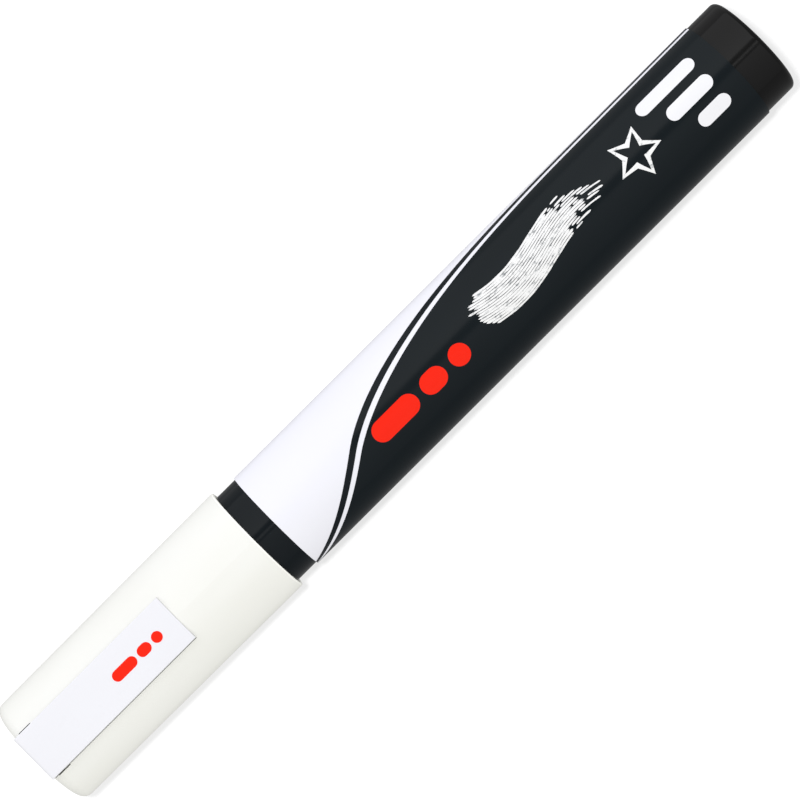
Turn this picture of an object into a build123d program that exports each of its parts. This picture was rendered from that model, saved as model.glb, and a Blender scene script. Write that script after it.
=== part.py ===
from build123d import *
import math
import os

# Capped liquid chalk marker, lying along X: cap towards -X, tail towards +X, clip facing +Z.
# The origin is on the table under the middle of the marker. All sizes are in millimetres.

# Lengths that show, from the closed end of the cap to the tail
cap_length = 41.9
band_width = 3.55
barrel_length = 87.15
tail_head_length = 5.4

# Clearances: radial unless the comment says otherwise
cap_clearance = 0.10
bead_clearance = 0.02
seal_clearance = 0.05
nib_clearance = 0.05
stem_clearance = 0.06
press_clearance = 0.02
pivot_clearance = 0.05
liner_clearance = 0.15
label_end_clearance = 0.05  # along the marker, at both ends of the film
valve_face_clearance = 0.03  # along the marker, between the closed valve's cones
spring_end_clearance = 0.02  # along the marker, at both ends of the spring
ball_wall_clearance = 0.03
ball_end_clearance = 0.10  # along the marker, at both ends of the ball's run
cut_overrun = 1.0  # how far a cutting block reaches past the surface it opens

# Barrel and its label
barrel_radius = 8.05
barrel_wall = 1.13
barrel_rim_rounding = 0.12
label_thickness = 0.10

# Front section: collar, cap spigot, neck, cone, nib tube and the skirt in the barrel
collar_step = 0.13  # how far the collar stands in from the barrel
collar_rounding = 0.35
spigot_length = 8.9  # part of the collar that the cap covers
bead_width = 1.2
bead_flat_width = 0.6
bead_setback = 3.2  # from the spigot's shoulder to the middle of the snap bead
neck_length = 5.5
neck_wall = 1.0
neck_rounding = 0.3
cone_step = 0.4  # how far the cone's base stands in from the neck
nib_tube_length = 3.6
nib_tube_wall = 0.85
nib_tube_draft = 0.2
nib_tube_rounding = 0.35
skirt_length = 10.5
skirt_wall = 1.3
skirt_rounding = 0.3

# Nib
nib_radius = 2.2
nib_reach = 4.5  # how far the nib stands out of its tube
nib_tip_room = 4.5  # between the nib's tip and the floor of the inner cap
nib_taper_length = 2.9
nib_tip_radius = 1.15
nib_tip_rounding = 1.0
nib_shoulder_rounding = 1.2
nib_rear_rounding = 0.15
nib_travel = 1.8

# Valve behind the nib
ink_well_spare = 0.6  # room left behind the nib when it is pressed right in
ink_well_step = 0.75  # how far the well's wall stands out from the nib's bore
seat_setback = 1.5  # from the collar's shoulder forward to the seat's front face
seat_length = 2.5
seat_cone_length = 1.2
stem_pin_radius = 1.1
stem_head_radius = 2.1
stem_head_length = 1.2
stem_guide_radius = 0.9
stem_guide_length = 10.6
stem_rounding = 0.2
seat_flow_gap = 0.25  # room for ink round the pin
cage_length = 10.2
cage_wall = 0.7
cage_floor = 1.2
cage_window_count = 4
cage_window_length = 5.0
cage_window_width = 1.8
spring_wire_radius = 0.25
spring_side_gap = 0.3  # between the coil and the guide
spring_turns = 6

# Cap
skirt_wall_of_cap = 0.8
cap_draft = 0.16  # how much smaller the closed end's radius is than the mouth's
cap_wall = 1.2
cap_end_wall = 3.6
cap_end_rounding = 1.3
cap_rim_rounding = 0.2
cap_lead_in = 0.25
cap_floor_rounding = 0.6
snap_groove_depth = 0.1
clip_floor_wall = 0.9  # wall between the clip's recess and the inside of the cap
clip_floor_reach = 1.1  # how far that flattened wall carries on past the recess

# Clip: a tongue with a half round foot in the cap's end
clip_length = 27.0
clip_width = 7.45
clip_thickness = 1.1
clip_proud = 0.34  # height of the clip's face over the cap's closed end radius
clip_gap = 0.45  # height between the tongue and the floor of its recess
clip_side_gap = 0.10
clip_end_gap = 0.15
clip_foot_radius = 1.1
clip_nub_radius = 0.35
clip_nub_setback = 1.6
clip_edge_rounding = 0.25
clip_root_rounding = 0.45
clip_slot_width = 0.22
clip_slot_start = 0.9
clip_slot_end = 3.05
clip_slot_depth = 1.2  # below the floor of the recess

# Inner cap
liner_wall = 0.8
liner_floor = 0.8
liner_end_rounding = 0.8
liner_flange_length = 1.2
liner_flange_setback = 4.0  # from the collar's shoulder forward to the flange's front face
liner_lip_length = 3.4

# Tail plug and mixing ball
tail_step = 0.09  # how far the tail stands in from the barrel
tail_rounding = 0.85
tail_end_wall = 1.8
tail_dimple_radius = 3.0
tail_dimple_depth = 0.4
tail_dimple_slope = 0.3
plug_length = 10.0
plug_wall = 1.2
plug_rounding = 0.4
ball_radius = 3.0

# Counts and angles
full_turn = 360
quarters_of_turn = 4
gap_samples_of_turn = 24
least_edge_share = 1e-6  # of the overall length: a shorter edge is left out of an outline

# Stations along X
overall_length = cap_length + band_width + barrel_length + tail_head_length
x_cap_end = -overall_length / 2
x_cap_mouth = x_cap_end + cap_length
x_barrel_front = x_cap_mouth + band_width
x_barrel_end = x_barrel_front + barrel_length
x_tail = x_barrel_end + tail_head_length
x_shoulder = x_cap_mouth - spigot_length
x_neck_front = x_shoulder - neck_length
x_cap_floor = x_cap_end + cap_end_wall
x_liner_floor = x_cap_floor + liner_floor
x_nib_tip = x_liner_floor + nib_tip_room
x_nib_tube_front = x_nib_tip + nib_reach
x_cone_front = x_nib_tube_front + nib_tube_length
x_seat_front = x_shoulder - seat_setback
x_seat_rear = x_seat_front + seat_length
x_well_front = x_seat_front - nib_travel - ink_well_spare
x_nib_rear = x_well_front
x_cage_rear = x_seat_rear + cage_length
x_skirt_rear = x_barrel_front + skirt_length
x_bead = x_shoulder + bead_setback
x_clip_free = x_cap_end + clip_length
x_clip_pivot = x_cap_end + clip_foot_radius
x_recess_end = x_clip_free + clip_end_gap
x_flat_end = x_recess_end + clip_floor_reach
x_plug_front = x_barrel_end - plug_length
x_ball = x_plug_front - ball_radius - ball_end_clearance

# Radii and heights over the marker's axis, from the outside in
collar_radius = barrel_radius - collar_step
tail_radius = barrel_radius - tail_step
cap_bore_radius = collar_radius + cap_clearance
cap_mouth_radius = cap_bore_radius + skirt_wall_of_cap
cap_end_radius = cap_mouth_radius - cap_draft
cap_inner_radius = cap_end_radius - cap_wall
bead_radius = cap_bore_radius - bead_clearance
clip_face_height = cap_end_radius + clip_proud
clip_under_height = clip_face_height - clip_thickness
recess_floor_height = clip_under_height - clip_gap
cap_flat_height = recess_floor_height - clip_floor_wall
liner_radius = cap_flat_height - liner_clearance
liner_inner_radius = liner_radius - liner_wall
neck_radius = liner_inner_radius - seal_clearance
chamber_radius = neck_radius - neck_wall
nib_bore_radius = nib_radius + nib_clearance
ink_well_radius = nib_bore_radius + ink_well_step
nib_tube_radius = nib_bore_radius + nib_tube_wall
tank_radius = barrel_radius - barrel_wall
skirt_radius = tank_radius - press_clearance
plug_radius = tank_radius - press_clearance
axis_height = cap_mouth_radius


def outline(corners):
    """Closed face through (along, out, rounding) corners. A rounding of 0 leaves a corner sharp."""
    legs = []
    for index, (along, out, rounding) in enumerate(corners):
        here = Vector(along, out)
        back = (Vector(*corners[index - 1][:2]) - here).normalized()
        ahead = (Vector(*corners[(index + 1) % len(corners)][:2]) - here).normalized()
        half_angle = math.radians(back.get_angle(ahead)) / 2
        setback = rounding / math.tan(half_angle)
        middle = here
        if rounding:
            inward = (back + ahead).normalized()
            middle = here + inward * (rounding / math.sin(half_angle) - rounding)
        legs.append((here + back * setback, middle, here + ahead * setback))
    edges = []
    for index, (start, middle, end) in enumerate(legs):
        came_from = legs[index - 1][2]
        if (start - came_from).length > least_edge_share * overall_length:
            edges.append(Line(came_from, start))
        if (end - start).length > least_edge_share * overall_length:
            edges.append(ThreePointArc(start, middle, end))
    return make_face(edges)


def turned(corners):
    """Solid of revolution about the marker's axis from (x, radius, rounding) corners."""
    return Pos(0, 0, axis_height) * revolve(Plane.XZ * outline(corners), Axis.X)


def across(corners, width):
    """Straight bar across the marker, of that width, from (x, height over the axis, rounding) corners."""
    return Pos(0, 0, axis_height) * extrude(Plane.XZ * outline(corners), amount=width / 2, both=True)


def bar(x_from, x_to, low, high, width):
    """Plain block across the marker between two stations and two heights over the axis."""
    return across([(x_from, low, 0), (x_to, low, 0), (x_to, high, 0), (x_from, high, 0)], width)


def half_round(x_middle, height, radius):
    """The two corners of a half circle that hangs below a height."""
    return [(x_middle - radius, height - radius, radius), (x_middle + radius, height - radius, radius)]


def snap_ridge(radius, rise):
    """Corners of a low ridge or groove round the collar at the snap bead's station."""
    return [
        (x_bead - bead_width / 2, radius, 0),
        (x_bead - bead_flat_width / 2, radius + rise, 0),
        (x_bead + bead_flat_width / 2, radius + rise, 0),
        (x_bead + bead_width / 2, radius, 0),
    ]


def cap_shell():
    """Drafted cup with a stop for the collar, a snap groove and a recess for the clip."""
    groove = snap_ridge(cap_bore_radius, snap_groove_depth)
    shell = turned([
        (x_cap_end, 0, 0),
        (x_cap_end, cap_end_radius, cap_end_rounding),
        (x_cap_mouth, cap_mouth_radius, cap_rim_rounding),
        (x_cap_mouth, cap_bore_radius + cap_lead_in, 0),
        (x_cap_mouth - cap_lead_in, cap_bore_radius, 0),
        *reversed(groove),
        (x_shoulder, cap_bore_radius, 0),
        (x_shoulder, cap_inner_radius, 0),
        (x_cap_floor, cap_inner_radius, cap_floor_rounding),
        (x_cap_floor, 0, 0),
    ])
    backing = turned([
        (x_cap_floor - cap_floor_rounding, 0, 0),
        (x_cap_floor - cap_floor_rounding, cap_inner_radius + cap_wall / 2, 0),
        (x_flat_end, cap_inner_radius + cap_wall / 2, 0),
        (x_flat_end, 0, 0),
    ])
    backing &= bar(x_cap_end, x_shoulder, cap_flat_height, cap_mouth_radius, cap_mouth_radius * 2)
    above = clip_face_height + cut_overrun
    outside = x_cap_end - cut_overrun
    recess = bar(outside, x_recess_end, recess_floor_height, above, clip_width + clip_side_gap * 2)
    slots = bar(
        x_cap_end + clip_slot_start, x_cap_end + clip_slot_end,
        recess_floor_height - clip_slot_depth, above, clip_width + clip_slot_width * 2,
    )
    slots -= bar(outside, x_recess_end, -above, above, clip_width + clip_side_gap * 2)
    groove_radius = clip_foot_radius + pivot_clearance
    foot_groove = across([
        (x_clip_pivot - groove_radius, above, 0),
        *half_round(x_clip_pivot, clip_under_height, groove_radius),
        (x_clip_pivot + groove_radius, above, 0),
    ], clip_width + clip_side_gap * 2)
    return shell + backing - recess - slots - foot_groove


def pocket_clip():
    """Flat tongue with a half round foot at the closed end and a grip nub under the free end."""
    x_nub = x_clip_free - clip_nub_setback
    tongue = across([
        (x_cap_end, clip_face_height, clip_root_rounding),
        *half_round(x_clip_pivot, clip_under_height, clip_foot_radius),
        (x_clip_pivot + clip_foot_radius, clip_under_height, 0),
        (x_nub - clip_nub_radius, clip_under_height, 0),
        *half_round(x_nub, clip_under_height, clip_nub_radius),
        (x_nub + clip_nub_radius, clip_under_height, 0),
        (x_clip_free, clip_under_height, 0),
        (x_clip_free, clip_face_height, clip_edge_rounding),
    ], clip_width)
    face = tongue.faces().sort_by(Axis.Z)[-1]
    long_edges = face.edges().filter_by(Axis.X)
    return fillet(long_edges, clip_edge_rounding)


def inner_cap():
    """Cup against the cap's floor, held by a flange, whose lip seals round the neck."""
    x_flange = x_shoulder - liner_flange_setback
    x_lip = x_flange + liner_lip_length
    return turned([
        (x_cap_floor, 0, 0),
        (x_cap_floor, liner_radius, liner_end_rounding),
        (x_flange, liner_radius, 0),
        (x_flange, cap_inner_radius - press_clearance, 0),
        (x_flange + liner_flange_length, cap_inner_radius - press_clearance, 0),
        (x_flange + liner_flange_length, liner_radius, 0),
        (x_lip, liner_radius, 0),
        (x_lip, liner_inner_radius, 0),
        (x_liner_floor, liner_inner_radius, liner_end_rounding),
        (x_liner_floor, 0, 0),
    ])


def nib():
    """Bullet nib: a rod with a rounded, tapered writing end."""
    return turned([
        (x_nib_tip, 0, 0),
        (x_nib_tip, nib_tip_radius, nib_tip_rounding),
        (x_nib_tip + nib_taper_length, nib_radius, nib_shoulder_rounding),
        (x_nib_rear, nib_radius, nib_rear_rounding),
        (x_nib_rear, 0, 0),
    ])


def front_section():
    """Collar with the cap's spigot, the cone round the nib, the valve's chamber and the barrel's skirt."""
    return turned([
        (x_nib_tube_front, nib_bore_radius, 0),
        (x_nib_tube_front, nib_tube_radius - nib_tube_draft, nib_tube_rounding),
        (x_cone_front, nib_tube_radius, 0),
        (x_neck_front, neck_radius - cone_step, 0),
        (x_neck_front, neck_radius, neck_rounding),
        (x_shoulder, neck_radius, 0),
        (x_shoulder, collar_radius, collar_rounding),
        *snap_ridge(collar_radius, bead_radius - collar_radius),
        (x_barrel_front, collar_radius, 0),
        (x_barrel_front, skirt_radius, 0),
        (x_skirt_rear, skirt_radius, skirt_rounding),
        (x_skirt_rear, skirt_radius - skirt_wall, 0),
        (x_cage_rear, skirt_radius - skirt_wall, 0),
        (x_cage_rear, chamber_radius, 0),
        (x_seat_front, chamber_radius, 0),
        (x_seat_front, ink_well_radius, 0),
        (x_well_front, ink_well_radius, 0),
        (x_well_front, nib_bore_radius, 0),
    ])


def valve_seat():
    """Ring with a flow hole for the stem's pin and a conical seat at the back."""
    hole_radius = stem_pin_radius + seat_flow_gap
    return turned([
        (x_seat_front, hole_radius, 0),
        (x_seat_front, chamber_radius - press_clearance, 0),
        (x_seat_rear, chamber_radius - press_clearance, 0),
        (x_seat_rear, stem_head_radius, 0),
        (x_seat_rear - seat_cone_length, hole_radius, 0),
    ])


def stem_head_rear():
    """Station of the flat behind the stem's head, which the spring pushes on."""
    return x_seat_rear + valve_face_clearance + stem_head_length


def valve_stem():
    """Pin to the nib, conical head on the seat and guide rod through the cage's floor."""
    x_cone = x_seat_rear - seat_cone_length + valve_face_clearance
    x_head = x_seat_rear + valve_face_clearance
    return turned([
        (x_nib_rear, 0, 0),
        (x_nib_rear, stem_pin_radius, stem_rounding),
        (x_cone, stem_pin_radius, 0),
        (x_cone, stem_pin_radius + seat_flow_gap, 0),
        (x_head, stem_head_radius, 0),
        (stem_head_rear(), stem_head_radius, stem_rounding),
        (stem_head_rear(), stem_guide_radius, 0),
        (stem_head_rear() + stem_guide_length, stem_guide_radius, stem_rounding),
        (stem_head_rear() + stem_guide_length, 0, 0),
    ])


def valve_cage():
    """Cup behind the seat with a bored floor and windows that let the ink in."""
    floor_front = x_cage_rear - cage_floor
    cage_radius = chamber_radius - press_clearance
    cup = turned([
        (x_seat_rear, cage_radius - cage_wall, 0),
        (x_seat_rear, cage_radius, 0),
        (x_cage_rear, cage_radius, 0),
        (x_cage_rear, stem_guide_radius + stem_clearance, 0),
        (floor_front, stem_guide_radius + stem_clearance, 0),
        (floor_front, cage_radius - cage_wall, 0),
    ])
    for number in range(cage_window_count):
        window = Pos(floor_front, 0, cage_radius - cage_wall / 2) * Box(
            cage_window_length, cage_window_width, cage_wall * 2,
        )
        cup -= Pos(0, 0, axis_height) * Rot(full_turn * number / cage_window_count, 0, 0) * window
    return cup


def coil_place(turn, x_from, pitch, coil_radius):
    """Point and direction of the spring's wire after a number of turns."""
    angle = math.tau * turn
    side = coil_radius * math.cos(angle)
    rise = coil_radius * math.sin(angle)
    point = Vector(x_from + pitch * turn, side, axis_height + rise)
    along = Vector(pitch, -math.tau * rise, math.tau * side)
    return point, along.normalized()


def two_arcs(start, start_way, end, end_way):
    """Two arcs that leave a start along its direction, meet smoothly and reach an end along its direction."""
    chord = end - start
    both = start_way + end_way
    spread = 2 * (1 - start_way.dot(end_way))
    reach = (math.sqrt(chord.dot(both) ** 2 + spread * chord.dot(chord)) - chord.dot(both)) / spread
    knee_from = start + start_way * reach
    knee_to = end - end_way * reach
    middle = (knee_from + knee_to) / 2
    first = TangentArc(start, middle, tangent=start_way)
    return [first, TangentArc(middle, end, tangent=knee_to - knee_from)]


def valve_spring():
    """Open coil between the stem's head and the cage's floor, as one unbroken wire of quarter turn arcs."""
    coil_radius = stem_guide_radius + spring_side_gap + spring_wire_radius
    x_from = stem_head_rear() + spring_end_clearance + spring_wire_radius
    x_to = x_cage_rear - cage_floor - spring_end_clearance - spring_wire_radius
    pitch = (x_to - x_from) / spring_turns
    places = [
        coil_place(step / quarters_of_turn, x_from, pitch, coil_radius)
        for step in range(spring_turns * quarters_of_turn + 1)
    ]
    arcs = []
    for here, there in zip(places, places[1:]):
        arcs += two_arcs(*here, *there)
    wire_end = Plane(origin=places[0][0], z_dir=places[0][1]) * Circle(spring_wire_radius)
    samples = [
        coil_place(step / gap_samples_of_turn, x_from, pitch, coil_radius)[0]
        for step in range(spring_turns * gap_samples_of_turn + 1)
    ]
    apart = gap_samples_of_turn // 2
    nearest = min(
        (samples[later] - samples[first]).length
        for first in range(len(samples))
        for later in range(first + apart, len(samples))
    )
    print(f"valve_spring: least gap to itself {nearest - 2 * spring_wire_radius:.2f} mm")
    return sweep(wire_end, path=Wire(arcs))


def barrel():
    """Open tube that holds the ink."""
    return turned([
        (x_barrel_front, tank_radius, 0),
        (x_barrel_front, barrel_radius, barrel_rim_rounding),
        (x_barrel_end, barrel_radius, barrel_rim_rounding),
        (x_barrel_end, tank_radius, 0),
    ])


def label_film():
    """Thin film wrapped round the barrel."""
    x_from = x_barrel_front + barrel_rim_rounding + label_end_clearance
    x_to = x_barrel_end - barrel_rim_rounding - label_end_clearance
    return turned([
        (x_from, barrel_radius, 0),
        (x_from, barrel_radius + label_thickness, 0),
        (x_to, barrel_radius + label_thickness, 0),
        (x_to, barrel_radius, 0),
    ])


def tail_plug():
    """Hollow plug in the barrel with a rounded head and a shallow dimple in its end."""
    return turned([
        (x_plug_front, plug_radius - plug_wall, 0),
        (x_plug_front, plug_radius, plug_rounding),
        (x_barrel_end, plug_radius, 0),
        (x_barrel_end, tail_radius, 0),
        (x_tail, tail_radius, tail_rounding),
        (x_tail, tail_dimple_radius, 0),
        (x_tail - tail_dimple_depth, tail_dimple_radius - tail_dimple_slope, 0),
        (x_tail - tail_dimple_depth, 0, 0),
        (x_tail - tail_end_wall, 0, 0),
        (x_tail - tail_end_wall, plug_radius - plug_wall, 0),
    ])


def mixing_ball():
    """Steel ball lying on the floor of the tank, at the tail."""
    drop = tank_radius - ball_radius - ball_wall_clearance
    return Pos(x_ball, 0, axis_height - drop) * Sphere(ball_radius)


os.makedirs("parts", exist_ok=True)
for piece in (
    cap_shell, pocket_clip, inner_cap, nib, front_section, valve_seat, valve_stem, valve_spring, valve_cage,
    barrel, label_film, tail_plug, mixing_ball,
):
    export_step(piece(), f"parts/{piece.__name__}.step")
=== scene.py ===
import math

import bpy
import numpy as np
from mathutils import Matrix, Vector


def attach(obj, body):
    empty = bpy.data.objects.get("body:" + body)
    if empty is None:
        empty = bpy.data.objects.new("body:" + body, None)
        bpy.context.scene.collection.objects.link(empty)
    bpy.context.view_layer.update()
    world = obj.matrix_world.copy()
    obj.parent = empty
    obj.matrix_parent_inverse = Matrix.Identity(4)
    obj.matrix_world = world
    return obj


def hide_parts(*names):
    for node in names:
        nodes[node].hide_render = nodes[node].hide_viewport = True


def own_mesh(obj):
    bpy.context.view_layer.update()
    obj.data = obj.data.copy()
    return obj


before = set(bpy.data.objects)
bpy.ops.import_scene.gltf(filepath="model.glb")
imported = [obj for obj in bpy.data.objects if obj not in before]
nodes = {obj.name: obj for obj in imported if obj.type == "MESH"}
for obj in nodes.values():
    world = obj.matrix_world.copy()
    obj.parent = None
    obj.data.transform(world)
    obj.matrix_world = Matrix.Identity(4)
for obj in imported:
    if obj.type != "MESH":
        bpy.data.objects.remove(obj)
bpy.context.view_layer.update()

# The marker lies along X with its tail towards +X and its clip up. Sizes are in millimetres, heights are
# over the marker's axis, and a turn is in degrees round the axis from the crown towards -Y.
MM = 0.001
AXIS_HEIGHT = 8.82
WELD = 1e-5  # points closer than this are one vertex
SHARP = math.radians(40)  # faces that meet at a larger angle keep a crisp edge

# Label film
BARREL_RADIUS = 8.05
FILM = 0.10
FILM_RADIUS = BARREL_RADIUS + FILM
FILM_FRONT, FILM_REAR = -23.52, 63.57
FILM_LAP = (-178.0, 186.0)  # turns where the wrap starts and where its free edge lies, over its own start
CLIMB_AFTER, CLIMB_OVER = 352.0, 6.0  # turns from the wrap's start to its climb, and of the climb itself
FILM_ROWS, FILM_COLUMNS = 24, 365

# Inks
INK = 0.02  # thickness of one layer
INK_ROOT = 0.01  # how far ink reaches into what it is printed on, so that no gap shows under it
OVERPRINT = 2  # layer of the marks, so that those on the field lie over it

# Dark field on the label, with a pinstripe ahead of it
EDGE_SLOPE = 0.2  # millimetres along the marker for each degree that the field's front edge climbs
EDGE_CLIMB = math.radians(1 / EDGE_SLOPE) * FILM_RADIUS  # millimetres round the film for one along it
EDGE_RISE = math.hypot(1, EDGE_CLIMB) / EDGE_CLIMB  # millimetres along the marker for one square to the edge
EDGE_START = 75.0  # turn where the front edge leaves the film's front end
EDGE_STEPS = 60
FIELD_LEFT = -66.0  # turn of the field's long edge
FIELD_SEAM = 174.0  # turn where the field ends at the back
FIELD_TAPER = -14.0  # turn that the long edge gains from the film's front to its rear
FIELD_ROWS, FIELD_COLUMNS = 80, 30
CORNER_TURN, CORNER_LONG = 70.0, 34.0  # the rounded shoulder between the two edges
LINE_WIDTH, LINE_GAP, LINE_COLUMNS = 0.9, 0.7, 5  # of the pinstripe
RIM_LIP = 0.04  # how far the field's ink reaches over the cut rims of the film and the barrel
RIM_FRONT_RADIUS, RIM_REAR_RADIUS = 7.925, 7.965  # down to the collar and the tail

# Red marks on the label and on the clip: the middle along the marker and the length of each
LABEL_REDS = {"long": (-2.0, 8.0), "short": (5.2, 4.2), "dot": (10.1, 3.2)}
LABEL_RED_TALL, LABEL_RED_TURN = 3.2, 13.0
CLIP_REDS = {"long": (-51.6, 4.2), "short": (-47.9, 2.2), "dot": (-45.5, 1.6)}
CLIP_RED_TALL = 1.6

# Chalk stroke on the field. A distance off is round the film from the crown towards -Y
STROKE_FROM, STROKE_TO, STROKE_OFF = 14.5, 42.0, -0.6
STROKE_HALF, STROKE_SWAY = 2.7, 1.1
STROKE_TRACKS, STROKE_SEED = 15, 7
TRACK_ROWS, TRACK_COLUMNS = 64, 3
START_ROUND, START_RAGGED = 1.6, 1.2  # how much later outer tracks start, and how much later by chance
END_BACK, END_ROUND, END_RAGGED = 5.0, 2.6, 3.4  # how much sooner all tracks end, outer ones, and by chance
BREAK = (0.25, 0.8)  # from a track's end to its fragment
FRAGMENT, FRAGMENT_ROUND = (0.8, 5.0), 0.6  # length, and the share of it that the outermost tracks lose
FRAGMENT_HALF = 0.8  # share of its track's width
TRACK_FILL = (0.74, 0.96)  # share of the room between two tracks that a ribbon takes
TRACK_TIP = 0.5  # length over which a ribbon narrows
TRACK_SWELL, TRACK_WAVE = 0.12, 1.9  # swing of a ribbon's width, and its radians for a millimetre

# White star and bars on the field
STAR_X, STAR_OFF = 46.0, -0.6
STAR_POINTS, STAR_TURN = 5, 0.3
STAR_ROWS, STAR_COLUMNS = 201, 5
STAR_POINT, STAR_HOLLOW, STAR_LINE = 3.5, 1.6, 0.84  # radii of points and hollows, and the line's width
BAR_REAR, BAR_TALL = 60.5, 2.2
BARS = ((10.5, -4.4), (8.0, -0.8), (5.5, 2.8))  # length and distance off

# Clip: it lies closer to one side of its recess than to the other
CLIP_FROM, CLIP_TO, CLIP_LEFT, CLIP_RIGHT = -69.0, -41.87, 3.80, -3.74
CLIP_FACE, CLIP_UNDER = 9.0, 7.9
CLIP_FOOT, CLIP_FOOT_RADIUS = -67.9, 1.1
CLIP_NUB, CLIP_NUB_RADIUS = -43.6, 0.35
CLIP_ROOT_ROUNDING, CLIP_RIM_ROUNDING, CLIP_END_ROUNDING = 0.45, 0.15, 0.08
CLIP_ROWS, CLIP_COLUMNS = 25, 15  # between two stops along the clip, and across its flat

# Nib, as (x, radius, rounding) corners, and valve spring
NIB = [(-60.1, 0, 0), (-60.1, 1.15, 1.0), (-57.2, 2.2, 1.2), (-39.9, 2.2, 0.15), (-39.9, 0, 0)]
NIB_FIBRES = (31, 47, 74)  # ridges round the nib
NIB_FIBRE_DEPTH = 0.02
NIB_SMOOTH = 0.5  # radius within which the ridges fade out
NIB_COLUMNS = 241
COIL_FROM, COIL_TO = -33.5, -26.27
COIL_TURNS, COIL_RADIUS, WIRE_RADIUS = 6, 1.45, 0.25
COIL_ROWS, COIL_COLUMNS = 48, 17  # in one turn, and round the wire

# Materials
NOISE_SPAN = (0.3, 0.7)  # where most values of a noise lie
GLOSS_SPREAD = 0.04  # share by which the roughness varies

# Studio. Table and soft boxes are in metres, as are the camera's limits
TABLE_REACH = 3.0
ROOM_SHED, ROOM_MIRRORED = 0.75, 0.22  # strength of the room's light as it is shed, and as gloss shows it
BOX_AWAY, BOX_LONG = 0.45, 0.8
OVERHEAD_STRENGTH, OVERHEAD_RADIUS = 4.2, 22.0
OVERHEAD_AT = (-30, 37, 516)  # over the table
BEYOND_STRENGTH, BEYOND_SPAN = 2.6, math.radians(20)
CAMERA_AT = (0.12, -0.32, 494.0)  # from the middle of the marker's axis, before the lean
CAMERA_LEAN, CAMERA_TURN = math.radians(1.3), math.radians(-44.915)
CAMERA_LENS, CAMERA_SENSOR = 162.4, 36.0
CAMERA_NEAR, CAMERA_FAR = 0.01, 20.0


def rounded(corners, steps=10):
    """Line through (x, radius, rounding) corners: each rounding is the arc that touches both legs, and each
    straight leg is split closer towards its ends, by the cosine of an even angle."""
    spots = np.array(corners, float)
    here, rounding = spots[:, :2], spots[:, 2]
    line = [here[:1]]
    for i in range(1, len(here)):
        end = here[i:i + 1]
        if rounding[i]:
            back = (here[i - 1] - here[i]) / np.linalg.norm(here[i - 1] - here[i])
            ahead = (here[i + 1] - here[i]) / np.linalg.norm(here[i + 1] - here[i])
            half = math.acos(np.clip(back @ ahead, -1, 1)) / 2
            middle = (back + ahead) / np.linalg.norm(back + ahead)
            centre = here[i] + middle * rounding[i] / math.sin(half)
            touch = here[i] + np.array([back, ahead]) * rounding[i] / math.tan(half)
            first, last = touch - centre
            sweep = np.linspace(0, 1, steps)[:, None] * (math.pi - 2 * half)
            across = (last - first * math.cos(math.pi - 2 * half)) / math.sin(math.pi - 2 * half)
            end = centre + first * np.cos(sweep) + across * np.sin(sweep)
        start = line[-1][-1]
        even = (1 - np.cos(np.linspace(0, math.pi, steps)[1:-1, None])) / 2
        line += [start + (end[0] - start) * even, end]
    return np.concatenate(line)


def wrapped(x, turn, radius):
    """Points at a distance round the marker's axis: across is the sine of the turn, height its cosine."""
    x, turn, radius = np.broadcast_arrays(x, np.radians(turn), radius)
    return np.stack([x, -radius * np.sin(turn), radius * np.cos(turn)], -1)


def leaf(under, over, ring=False):
    """Closed thin shell between two grids that lie over each other: both grids and a strip along each rim. A
    ring has no strips at its first and last rows, which fall together."""
    sheets = [over, under[::-1]]
    sheets += [np.stack([over[:, 0], under[:, 0]]), np.stack([under[:, -1], over[:, -1]])]
    if not ring:
        sheets += [np.stack([under[0], over[0]]), np.stack([over[-1], under[-1]])]
    return sheets


def inked(x, turn, layer=1, ring=False):
    """Patch of ink on the film over a grid of places: its top lies so many layers of ink over the film."""
    under = wrapped(x, turn, FILM_RADIUS - INK_ROOT)
    return leaf(under, wrapped(x, turn, FILM_RADIUS + layer * INK), ring)


def pill(long, tall, steps=12, columns=7):
    """Bar with half round ends on a grid: along it in rows, across it in columns, from the bar's middle."""
    sweep = np.linspace(0, math.pi / 2, steps)
    reach = long / 2 - tall / 2 + np.cos(sweep) * tall / 2
    half = np.sin(sweep) * tall / 2
    along = np.concatenate([-reach, reach[::-1]])[:, None]
    across = np.concatenate([half, half[::-1]])[:, None] * np.linspace(-1, 1, columns)
    return along + across * 0, across


def around(across):
    """Turn in degrees of a distance round the film."""
    return np.degrees(across / FILM_RADIUS)


def field_edge(inset):
    """Places (x, turn) along the dark field's edge, moved in by a distance: straight up the slanted front
    edge, round a shoulder that is a quarter of an ellipse, and along the long edge to the rear."""
    def slanted(turn):
        return FILM_FRONT + EDGE_SLOPE * (EDGE_START - turn) + inset * EDGE_RISE

    left = FIELD_LEFT + around(inset)
    start = EDGE_START + inset * EDGE_RISE / EDGE_SLOPE
    climb = np.linspace(start, left + CORNER_TURN, EDGE_STEPS)
    sweep = np.linspace(0, math.pi / 2, EDGE_STEPS)
    corner = left + CORNER_TURN * (1 - np.sin(sweep))
    bend = slanted(corner) + CORNER_LONG * (1 - np.cos(sweep))
    along = np.linspace(bend[-1], FILM_REAR, EDGE_STEPS)
    x = np.concatenate([slanted(climb), bend, along])
    turn = np.concatenate([climb, corner, along * 0 + left])
    return x, turn


def tapered(x, turn):
    """The turns, drawn down the side towards the rear, by the square of how far they lie from the seam."""
    share = np.clip((FIELD_SEAM - turn) / (FIELD_SEAM - FIELD_LEFT), 0, 1)
    return turn + FIELD_TAPER * share ** 2 * (x - FILM_FRONT) / (FILM_REAR - FILM_FRONT)


def drop(inside, rounding):
    """Height that a quarter round takes off at a distance inside a rim."""
    return rounding - np.sqrt(rounding ** 2 - np.maximum(rounding - inside, 0) ** 2)


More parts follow.
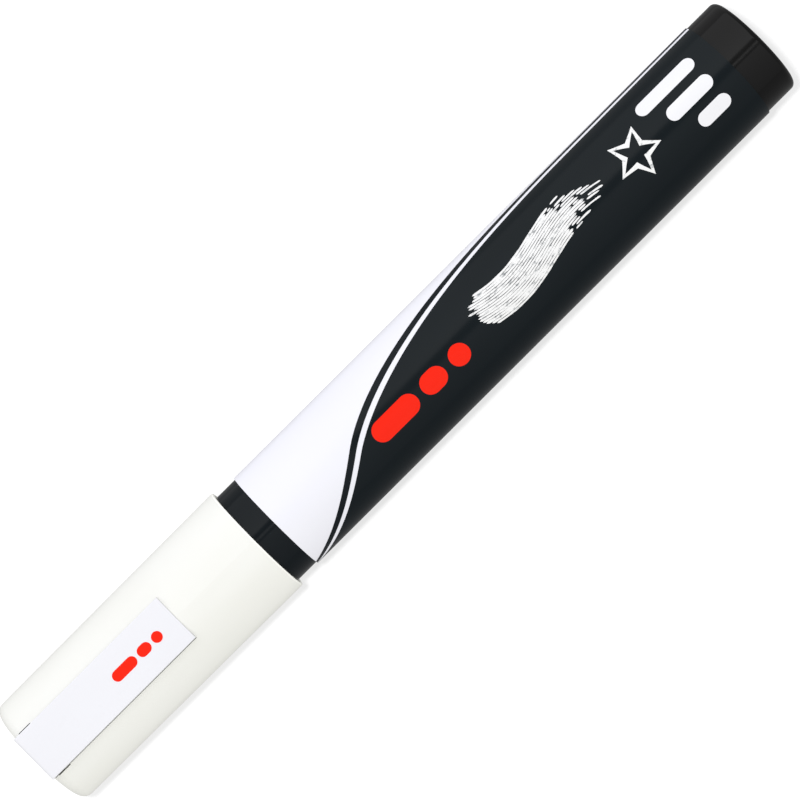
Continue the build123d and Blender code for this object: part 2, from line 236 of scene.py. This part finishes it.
def hang(x, middle, radius):
    """Depth of a half circle that hangs from a flat side."""
    return np.sqrt(np.maximum(radius ** 2 - (x - middle) ** 2, 0))


def placed(name, shown):
    """Puts a mesh, a lamp or a camera into the scene."""
    thing = bpy.data.objects.new(name, shown)
    bpy.context.scene.collection.objects.link(thing)
    return thing


def build(name, sheets, body, slot, finish, *stands_for):
    """Adds a piece over grids of points. A face lies between neighbouring rows and columns, points that fall
    together are one vertex, so seams and poles close, and the sign of the enclosed volume turns the faces
    outwards."""
    spots = np.concatenate([sheet.reshape(-1, 3) for sheet in sheets])
    starts = np.cumsum([0] + [sheet.shape[0] * sheet.shape[1] for sheet in sheets])
    grids = [np.arange(a, b).reshape(sheet.shape[:2]) for a, b, sheet in zip(starts, starts[1:], sheets)]
    faces = np.concatenate([
        np.stack([g[:-1, :-1], g[1:, :-1], g[1:, 1:], g[:-1, 1:]], -1).reshape(-1, 4) for g in grids
    ])
    _, first, vertex = np.unique(np.round(spots / WELD), axis=0, return_index=True, return_inverse=True)
    a, b, c, d = (spots[faces[:, k]] for k in range(4))
    if (np.cross(a, b) * c + np.cross(a, c) * d).sum() < 0:
        faces = faces[:, ::-1]
    corners = vertex.reshape(-1)[faces]
    kept = corners != np.roll(corners, -1, 1)
    solid = kept.sum(1) > 2
    corners, kept = corners[solid], kept[solid]
    totals = kept.sum(1)
    places = (spots[first] + [0, 0, AXIS_HEIGHT]) * MM
    mesh = bpy.data.meshes.new(name)
    mesh.vertices.add(len(first))
    mesh.vertices.foreach_set("co", places.astype(np.float32).ravel())
    mesh.loops.add(int(totals.sum()))
    mesh.loops.foreach_set("vertex_index", corners[kept].astype(np.int32))
    mesh.polygons.add(len(totals))
    mesh.polygons.foreach_set("loop_start", (np.cumsum(totals) - totals).astype(np.int32))
    mesh.update(calc_edges=True)
    mesh.shade_smooth()
    mesh.set_sharp_from_angle(angle=SHARP)
    mesh.materials.append(finish)
    piece = placed(name, mesh)
    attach(piece, body)
    if stands_for:
        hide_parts(*stands_for)
    return piece


def linear(colour):
    """Linear colour of an sRGB hex value."""
    share = np.array([int(colour[k:k + 2], 16) for k in (1, 3, 5)]) / 255
    return (*np.where(share > 0.04045, ((share + 0.055) / 1.055) ** 2.4, share / 12.92), 1.0)


def add(tree, kind, settings, wires):
    """Adds a node: settings are its own, and a wire gives an input a value or another node's output."""
    made = tree.nodes.new(kind)
    for key, value in settings.items():
        setattr(made, key, value)
    for key, value in wires.items():
        if isinstance(value, bpy.types.NodeSocket):
            tree.links.new(value, made.inputs[key])
        else:
            made.inputs[key].default_value = value
    return made


def surface(name, **sockets):
    """Starts a material with one principled surface, whose steady values go straight on its sockets."""
    finish = bpy.data.materials.new(name)
    finish.use_nodes = True
    tree = finish.node_tree
    tree.nodes.clear()
    steady = {key.replace("_", " "): value for key, value in sockets.items()}
    shader = add(tree, "ShaderNodeBsdfPrincipled", {}, steady)
    add(tree, "ShaderNodeOutputMaterial", {}, {"Surface": shader.outputs["BSDF"]})
    return finish, tree, shader


def uneven(
    name, colour, shade, roughness, grain, height, cloud=7.0, stretch=3.0, onset=NOISE_SPAN, **sockets
):
    """Surface whose colour drifts to a shade in clouds that are drawn out along the marker, with a fine
    relief that also breaks up the gloss. The sizes of clouds and grain and the relief's height are in
    millimetres, and the onset is the part of the cloud noise's range over which the shade comes in."""
    finish, tree, shader = surface(name, **sockets)
    place = add(tree, "ShaderNodeTexCoord", {}, {}).outputs["Object"]
    drawn = add(tree, "ShaderNodeMapping", {}, {"Vector": place, "Scale": (1 / stretch, 1, 1)})
    clouds = add(tree, "ShaderNodeTexNoise", {}, {
        "Vector": drawn.outputs["Vector"], "Scale": 1 / (cloud * MM),
    })
    part = add(tree, "ShaderNodeMapRange", {}, {
        "Value": clouds.outputs["Fac"], "From Min": onset[0], "From Max": onset[1],
    })
    tint = add(tree, "ShaderNodeMix", {"data_type": "RGBA"}, {
        "Factor": part.outputs["Result"], 6: linear(colour), 7: linear(shade),
    })
    fine = add(tree, "ShaderNodeTexNoise", {}, {"Vector": place, "Scale": 1 / (grain * MM)}).outputs["Fac"]
    gloss = add(tree, "ShaderNodeMapRange", {}, {
        "Value": fine, "From Min": NOISE_SPAN[0], "From Max": NOISE_SPAN[1],
        "To Min": roughness * (1 - GLOSS_SPREAD), "To Max": roughness * (1 + GLOSS_SPREAD),
    })
    relief = add(tree, "ShaderNodeBump", {}, {"Height": fine, "Distance": height * MM, "Strength": 1.0})
    tree.links.new(tint.outputs[2], shader.inputs["Base Color"])
    tree.links.new(gloss.outputs["Result"], shader.inputs["Roughness"])
    tree.links.new(relief.outputs["Normal"], shader.inputs["Normal"])
    return finish


def soft_box(name, edges, radiances, mirrored, colour=(1, 1, 1)):
    """Adds a long flat lamp beside the marker. Its edges are given by their lean in degrees from upright
    towards +Y, as seen from the origin, and its radiance runs evenly from the first edge to the second. It
    either sheds light or only shows in gloss."""
    lean = math.radians(sum(edges) / 2)
    half = math.radians(abs(edges[1] - edges[0]) / 2)
    middle = BOX_AWAY * math.cos(lean)
    fall = BOX_AWAY * math.tan(half) * math.sin(abs(lean))
    lamp = bpy.data.lights.new(name, "AREA")
    lamp.shape = "RECTANGLE"
    lamp.size, lamp.size_y = BOX_LONG, 2 * BOX_AWAY * math.tan(half)
    lamp.energy = math.pi * lamp.size * lamp.size_y
    lamp.color = colour
    lamp.use_nodes = True
    tree = lamp.node_tree
    place = add(tree, "ShaderNodeNewGeometry", {}, {}).outputs["Position"]
    height = add(tree, "ShaderNodeSeparateXYZ", {}, {"Vector": place}).outputs["Z"]
    glow = add(tree, "ShaderNodeMapRange", {}, {
        "Value": height, "From Min": middle + fall, "From Max": middle - fall,
        "To Min": radiances[0], "To Max": radiances[1],
    })
    tree.links.new(glow.outputs["Result"], tree.nodes["Emission"].inputs["Strength"])
    box = placed(name, lamp)
    box.location = (0, BOX_AWAY * math.sin(lean), middle)
    box.rotation_euler = (-lean, 0, 0)
    box.visible_camera = False
    box.visible_diffuse, box.visible_glossy = not mirrored, mirrored
    return box


def lights_only(lamp, *receivers):
    """Keeps a lamp's light to some objects."""
    lamp.light_linking.receiver_collection = bpy.data.collections.new(f"lit_by_{lamp.name}")
    for receiver in receivers:
        lamp.light_linking.receiver_collection.objects.link(receiver)


# Polypropylene with white pigment from a fine sparked mould: satin, a little warm, faintly cloudy along the
# flow. A mould's grain of about 0.05 mm is drawn 7 to 12 times as coarse, here and on the mouldings below
# apart from the clip, so that it shows
cap_finish = uneven(
    "warm_white_moulded_polypropylene", "#F4F4EE", "#F1F1EA", roughness=0.36, grain=0.35, height=0.0012,
    IOR=1.49, Specular_IOR_Level=0.03,
)
# The same plastic from a polished mould: cooler and glossier, with a faint slow ripple
clip_finish = uneven(
    "cool_white_moulded_polypropylene", "#F2F2F5", "#F0F0F3", roughness=0.28, grain=3.0, height=0.001,
    IOR=1.49, Specular_IOR_Level=0.15,
)
# The same plastic in a plain white: satin
barrel_finish = uneven(
    "white_moulded_polypropylene", "#F2F2F2", "#EEEEEC", roughness=0.34, grain=0.4, height=0.0012,
    IOR=1.49,
)
# Black pigmented polypropylene from a polished mould: deep slate that mirrors the lamps softly
collar_finish = uneven(
    "slate_black_moulded_polypropylene", "#0E1418", "#10161A", roughness=0.10, grain=0.45, height=0.0004,
    IOR=1.49, Specular_IOR_Level=0.26,
)
# The same with a plain black pigment: a neutral black with the same soft mirror
tail_finish = uneven(
    "black_moulded_polypropylene", "#0E0E0E", "#101010", roughness=0.10, grain=0.45, height=0.0004,
    IOR=1.49, Specular_IOR_Level=0.34,
)
# Unpigmented polyethylene: milky, waxy, lets light in
liner_finish = uneven(
    "natural_polyethylene", "#E9E8E0", "#E3E2D8", roughness=0.45, grain=0.6, height=0.002,
    IOR=1.51, Subsurface_Weight=0.3, Subsurface_Radius=(0.0015, 0.0014, 0.0012),
)
# Acetal: dense white with a slightly slippery sheen
valve_finish = uneven(
    "white_moulded_acetal", "#F0EFEA", "#ECEBE5", roughness=0.35, grain=0.5, height=0.001,
    IOR=1.48,
)
# Varnished polypropylene film over white print: cool white, with the faint ripple of wrapped film
film_finish = uneven(
    "varnished_white_label_film", "#F4F4F9", "#F2F2F8", roughness=0.22, grain=2.5, height=0.0015,
    IOR=1.49, Specular_IOR_Level=0.03,
)
# Inks under the same varnish: flat colours with the film's ripple in their gloss
black_ink = uneven(
    "varnished_black_ink", "#0E161A", "#10181C", roughness=0.2, grain=2.5, height=0.0015,
    IOR=1.49, Specular_IOR_Level=0.26,
)
white_ink = uneven(
    "varnished_white_ink", "#F6F6F8", "#F2F2F4", roughness=0.24, grain=2.5, height=0.0015,
    IOR=1.49, Specular_IOR_Level=0.25,
)
red_ink = uneven(
    "varnished_red_ink", "#FF270D", "#FB240B", roughness=0.24, grain=2.5, height=0.0015,
    IOR=1.49, Specular_IOR_Level=0.15,
)
# Matt white ink broken up like chalk: powdery, with flecks where the black shows through
chalk_ink = uneven(
    "chalky_white_ink", "#F7F7F5", "#8F9496", roughness=0.7, grain=0.3, height=0.004,
    cloud=0.45, stretch=1.6, onset=(0.57, 0.77), IOR=1.45,
)
# Pressed polyester fibres: matt, drawn along the nib
nib_finish = uneven(
    "pressed_polyester_fibre", "#EFEEE8", "#DEDCD2", roughness=0.9, grain=0.18, height=0.03,
    cloud=0.25, stretch=8, IOR=1.5,
)
# Drawn stainless wire: bright, and a little duller in places
wire_finish = uneven(
    "drawn_stainless_wire", "#C9C9CB", "#B9B9BC", roughness=0.3, grain=0.2, height=0.002,
    Metallic=1.0,
)
# Bearing steel: mirror bright, with the faintest unevenness
ball_finish = uneven(
    "polished_bearing_steel", "#CFCFD1", "#C6C6C9", roughness=0.12, grain=0.4, height=0.0005,
    Metallic=1.0,
)
# Opal acrylic of a light table: a matt pale sheet that glows
table_finish, _, _ = surface(
    "opal_acrylic", Base_Color=linear("#757575"), Roughness=0.9,
    Emission_Color=(1, 1, 1, 1), Emission_Strength=0.68,
)

for node, finish in {
    "cap_shell": cap_finish, "pocket_clip": clip_finish, "inner_cap": liner_finish, "nib": nib_finish,
    "front_section": collar_finish, "valve_seat": valve_finish, "valve_stem": valve_finish,
    "valve_cage": valve_finish, "valve_spring": wire_finish, "barrel": barrel_finish,
    "label_film": film_finish, "tail_plug": tail_finish, "mixing_ball": ball_finish,
}.items():
    nodes[node].data.materials.clear()
    nodes[node].data.materials.append(finish)


# Film: a spiral that climbs over its own start by one thickness, so that the lap shows as a step along the
# back
turns = np.linspace(*FILM_LAP, FILM_COLUMNS)
climb = np.clip((turns - FILM_LAP[0] - CLIMB_AFTER) / CLIMB_OVER, 0, 1)
lift = FILM * climb * climb * (3 - 2 * climb)
lengths = np.linspace(FILM_FRONT, FILM_REAR, FILM_ROWS)[:, None]
film_sides = [wrapped(lengths, turns, radius + lift) for radius in (BARREL_RADIUS, FILM_RADIUS)]
build("label_wrap", leaf(*film_sides), "marker_body", "label_print", film_finish, "label_film")

# Pinstripe: a band between the field's outer edge and the same edge moved in
outer_x, outer_turn = field_edge(0)
inner_x, inner_turn = field_edge(LINE_WIDTH)
across = np.linspace(0, 1, LINE_COLUMNS)
line_x = outer_x[:, None] + (inner_x - outer_x)[:, None] * across
line_turn = outer_turn[:, None] + (inner_turn - outer_turn)[:, None] * across
build("label_pinstripe", inked(line_x, tapered(line_x, line_turn)), "marker_body", "label_print", black_ink)

# Field: rows from its front edge, up to the end of the shoulder, to the rear. At both ends of the film its
# ink turns down over the cut rim
edge_x, edge_turn = (places[:2 * EDGE_STEPS] for places in field_edge(LINE_WIDTH + LINE_GAP))
front_turn = np.linspace(FIELD_SEAM, edge_turn[0], FIELD_ROWS)[:-1]
start_x = np.concatenate([front_turn * 0 + FILM_FRONT, edge_x])[:, None]
start_turn = np.concatenate([front_turn, edge_turn])[:, None]
field_x = start_x + (FILM_REAR - start_x) * np.linspace(0, 1, FIELD_COLUMNS)
front_lip = start_x - RIM_LIP * (start_x <= FILM_FRONT)
field_x = np.concatenate([front_lip, field_x, field_x[:, -1:] + RIM_LIP], 1)
field_turn = tapered(field_x, start_turn + field_x * 0)
field_root = np.where(field_x > FILM_REAR, RIM_REAR_RADIUS, FILM_RADIUS - INK_ROOT)
field_root = np.where(field_x < FILM_FRONT, RIM_FRONT_RADIUS, field_root)
field_sides = [wrapped(field_x, field_turn, radius) for radius in (field_root, FILM_RADIUS + INK)]
build("label_field", leaf(*field_sides), "marker_body", "label_print", black_ink)

# Clip: a flat tongue between two heights over the same grid. Its upper side drops in a quarter round along
# the rims, and its under side hangs in a half circle at the foot and at the nub
dense = (1 - np.cos(np.linspace(0, math.pi, CLIP_ROWS))) / 2
nub_from, nub_to = CLIP_NUB - CLIP_NUB_RADIUS, CLIP_NUB + CLIP_NUB_RADIUS
stops = (CLIP_FROM, CLIP_FOOT + CLIP_FOOT_RADIUS, nub_from, nub_to, CLIP_TO)
tongue_x = np.unique(np.concatenate([a + (b - a) * dense for a, b in zip(stops, stops[1:])]))[:, None]
rim = CLIP_RIM_ROUNDING * 2 * dense[:len(dense) // 2 + 1]
flat_y = np.linspace(CLIP_LEFT, CLIP_RIGHT, CLIP_COLUMNS)[1:-1]
tongue_y = np.concatenate([CLIP_LEFT - rim, flat_y, CLIP_RIGHT + rim[::-1]])
upper = CLIP_FACE - drop(tongue_x - CLIP_FROM, CLIP_ROOT_ROUNDING)
upper = upper - drop(CLIP_TO - tongue_x, CLIP_END_ROUNDING)
upper = upper - drop(CLIP_LEFT - tongue_y, CLIP_RIM_ROUNDING) - drop(tongue_y - CLIP_RIGHT, CLIP_RIM_ROUNDING)
lower = CLIP_UNDER - hang(tongue_x, CLIP_FOOT, CLIP_FOOT_RADIUS) - hang(tongue_x, CLIP_NUB, CLIP_NUB_RADIUS)
tongue = [np.stack(np.broadcast_arrays(tongue_x, tongue_y, height), -1) for height in (lower, upper)]
build("clip_tongue", leaf(*tongue), "clip", "clip_white", clip_finish, "pocket_clip")

# Red dashes and a dot on the label, and smaller ones on the clip
for name, (middle, long) in LABEL_REDS.items():
    along, off = pill(long, LABEL_RED_TALL)
    mark = inked(middle + along, LABEL_RED_TURN + around(off), OVERPRINT)
    build(f"label_red_{name}", mark, "marker_body", "label_print", red_ink)
for name, (middle, long) in CLIP_REDS.items():
    along, off = pill(long, CLIP_RED_TALL)
    heights = (CLIP_FACE - INK_ROOT, CLIP_FACE + INK)
    mark = leaf(*(np.stack([middle + along, -off, off * 0 + height], -1) for height in heights))
    build(f"clip_red_{name}", mark, "clip", "label_print", red_ink)

# Chalk stroke: bristle tracks side by side along a shallow S, which is one period of a sine. Each track has
# its own ragged start and end and goes on in a fragment after a break. Every run is a ribbon that narrows at
# both ends
draw = np.random.default_rng(STROKE_SEED)
places = np.linspace(-1, 1, STROKE_TRACKS)
opens = STROKE_FROM + START_ROUND * places ** 2 + draw.uniform(0, START_RAGGED, STROKE_TRACKS)
closes = STROKE_TO - END_BACK - END_ROUND * places ** 2 - draw.uniform(0, END_RAGGED, STROKE_TRACKS)
breaks = draw.uniform(*BREAK, STROKE_TRACKS)
tails = closes + breaks + draw.uniform(*FRAGMENT, STROKE_TRACKS) * (1 - FRAGMENT_ROUND * places ** 2)
halves = STROKE_HALF / STROKE_TRACKS * draw.uniform(*TRACK_FILL, STROKE_TRACKS)
wobbles = draw.uniform(0, math.tau, STROKE_TRACKS)
at = np.linspace(0, 1, TRACK_ROWS)[:, None]
side = np.linspace(-1, 1, TRACK_COLUMNS)
sheets = []
for run_from, run_to, half_share in ((opens, closes, 1.0), (closes + breaks, tails, FRAGMENT_HALF)):
    for first, last, half, place, wobble in zip(run_from, run_to, halves * half_share, places, wobbles):
        along = first + (last - first) * at
        sway = STROKE_SWAY * np.sin(math.tau * (along - STROKE_FROM) / (STROKE_TO - STROKE_FROM))
        ends = np.clip(np.minimum(along - first, last - along) / TRACK_TIP, 0, 1)
        swell = 1 + TRACK_SWELL * np.sin(TRACK_WAVE * along + wobble)
        taper = np.sqrt(1 - (1 - ends) ** 2) * swell
        middle = STROKE_OFF + sway + STROKE_HALF * (1 - 1 / STROKE_TRACKS) * place
        sheets += inked(along, around(middle + half * taper * side), OVERPRINT)
build("label_stroke", sheets, "marker_body", "label_print", chalk_ink)

# White star: an outline whose radius runs straight from each point to the next hollow
sector = math.tau / (2 * STAR_POINTS)
spin = np.linspace(0, math.tau, STAR_ROWS)
fold = np.abs((spin + sector) % (2 * sector) - sector)
hollow_x, hollow_y = STAR_HOLLOW * math.cos(sector), STAR_HOLLOW * math.sin(sector)
radius = STAR_POINT * hollow_y / (np.cos(fold) * hollow_y - np.sin(fold) * (hollow_x - STAR_POINT))
reach = radius[:, None] + np.linspace(-STAR_LINE / 2, STAR_LINE / 2, STAR_COLUMNS)
star_x = STAR_X + reach * np.cos(spin + STAR_TURN)[:, None]
star_off = STAR_OFF + reach * np.sin(spin + STAR_TURN)[:, None]
star = inked(star_x, around(star_off), OVERPRINT, True)
build("label_star", star, "marker_body", "label_print", chalk_ink)

# White bars near the tail
for number, (long, middle) in enumerate(BARS):
    along, off = pill(long, BAR_TALL)
    bar = inked(BAR_REAR - long / 2 + along, around(middle + off), OVERPRINT)
    build(f"label_bar_{number}", bar, "marker_body", "label_print", white_ink)

# Nib: a turned bullet whose radius dips between three sets of fibre ridges
shape = rounded(NIB)
spin = np.linspace(0, 360, NIB_COLUMNS)
ridges = sum(np.cos(np.radians(spin) * count + count) for count in NIB_FIBRES) / len(NIB_FIBRES)
dip = NIB_FIBRE_DEPTH * (0.5 + 0.5 * ridges) * np.minimum(1, shape[:, 1:] / NIB_SMOOTH)
bullet = wrapped(shape[:, :1], spin, shape[:, 1:] - dip)
build("nib_fibre", [bullet], "nib", "nib_fibre", nib_finish, "nib")

# Spring: a ring carried along a helix, drawn to a point at both ends
count = np.linspace(0, COIL_TURNS, COIL_TURNS * COIL_ROWS + 1)
angle = math.tau * count
pitch = (COIL_TO - COIL_FROM) / COIL_TURNS
outward = np.stack([angle * 0, np.cos(angle), np.sin(angle)], -1)
centre = np.stack([COIL_FROM + pitch * count, COIL_RADIUS * np.cos(angle), COIL_RADIUS * np.sin(angle)], -1)
lean = np.stack([angle * 0 + math.tau * COIL_RADIUS, pitch * np.sin(angle), -pitch * np.cos(angle)], -1)
lean /= np.linalg.norm(lean, axis=1, keepdims=True)
ring = np.linspace(0, math.tau, COIL_COLUMNS)[:, None]
thick = WIRE_RADIUS * (np.arange(len(count)) % (len(count) - 1) > 0)[:, None, None]
coil = centre[:, None] + thick * (outward[:, None] * np.cos(ring) + lean[:, None] * np.sin(ring))
spring = build("valve_coil", [coil], "marker_body", "spring_steel", wire_finish, "valve_spring")
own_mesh(spring)

# Table: it glows for the camera alone, and neither lights the marker nor shows in its gloss
table = bpy.data.meshes.new("table")
signs = ((-1, -1), (1, -1), (1, 1), (-1, 1))
table.from_pydata([(TABLE_REACH * x, TABLE_REACH * y, 0) for x, y in signs], [], [(0, 1, 2, 3)])
table.materials.append(table_finish)
floor = placed("table", table)
floor.visible_diffuse = False
floor.visible_glossy = False

# Key and fill shed the light. The fronts of both and of the table show in gloss and leave a dark slit over
# the crown, and the moulded blacks also mirror a thin bright line in it
soft_box("key", (4.87, 88.13), (0.60, 0.60), False, (0.97, 0.98, 1.1))
soft_box("fill", (-5.44, -74.56), (0.32, 0.32), False, (1, 1, 0.97))
soft_box("key_front", (8.9, 91.5), (0.76, 0.40), True)
soft_box("table_front", (91.5, 130.0), (0.13, 0.13), True)
soft_box("fill_front", (-9.3, -80.0), (0.36, 0.06), True)
slit_line = soft_box("slit_line", (-3.8, -5.4), (1.0, 1.0), True)
lights_only(slit_line, nodes["front_section"], nodes["tail_plug"])

# A small lamp high over the table, as strong far off as near by, which lights only the table, so that the
# marker throws a narrow shade beside it and beyond its tail
point = bpy.data.lights.new("overhead", "POINT")
point.energy, point.shadow_soft_size = OVERHEAD_STRENGTH * 4 * math.pi, OVERHEAD_RADIUS * MM
point.use_nodes = True
even = add(point.node_tree, "ShaderNodeLightFalloff", {}, {"Strength": 1.0}).outputs["Constant"]
point.node_tree.links.new(even, point.node_tree.nodes["Emission"].inputs["Strength"])
overhead = placed("overhead", point)
overhead.location = Vector(OVERHEAD_AT) * MM
lights_only(overhead, floor)

# The bright room beyond the tail, which lights the cap's mouth along the marker
sun = bpy.data.lights.new("beyond", "SUN")
sun.energy, sun.angle = BEYOND_STRENGTH, BEYOND_SPAN
beyond = placed("beyond", sun)
beyond.rotation_euler = (0, math.pi / 2, 0)
beyond.visible_glossy = False
lights_only(beyond, nodes["cap_shell"])

# The room is white to the camera, and dimmer in reflections than in the light that it sheds
world = bpy.data.worlds.new("studio")
world.use_nodes = True
room = world.node_tree
ray = add(room, "ShaderNodeLightPath", {}, {}).outputs
shed = add(room, "ShaderNodeMath", {"operation": "MULTIPLY_ADD"}, {
    0: ray["Is Glossy Ray"], 1: ROOM_MIRRORED - ROOM_SHED, 2: ROOM_SHED,
})
seen = add(room, "ShaderNodeMath", {"operation": "MULTIPLY_ADD"}, {
    0: ray["Is Camera Ray"], 1: 1 - ROOM_SHED, 2: shed.outputs[0],
})
room.nodes["Background"].inputs["Color"].default_value = (1, 1, 1, 1)
room.links.new(seen.outputs[0], room.nodes["Background"].inputs["Strength"])
bpy.context.scene.world = world

# Camera: almost straight above the marker, turned so that it lies across the picture
lens = bpy.data.cameras.new("camera")
lens.lens, lens.sensor_width = CAMERA_LENS, CAMERA_SENSOR
lens.clip_start, lens.clip_end = CAMERA_NEAR, CAMERA_FAR
camera = placed("camera", lens)
tilt = Matrix.Rotation(CAMERA_LEAN, 4, "X")
camera.matrix_world = (
    Matrix.Translation((0, 0, AXIS_HEIGHT * MM)) @ tilt @ Matrix.Translation(Vector(CAMERA_AT) * MM)
    @ Matrix.Rotation(CAMERA_TURN, 4, "Z")
)
bpy.context.scene.camera = camera
bpy.context.scene.view_settings.view_transform = "Standard"
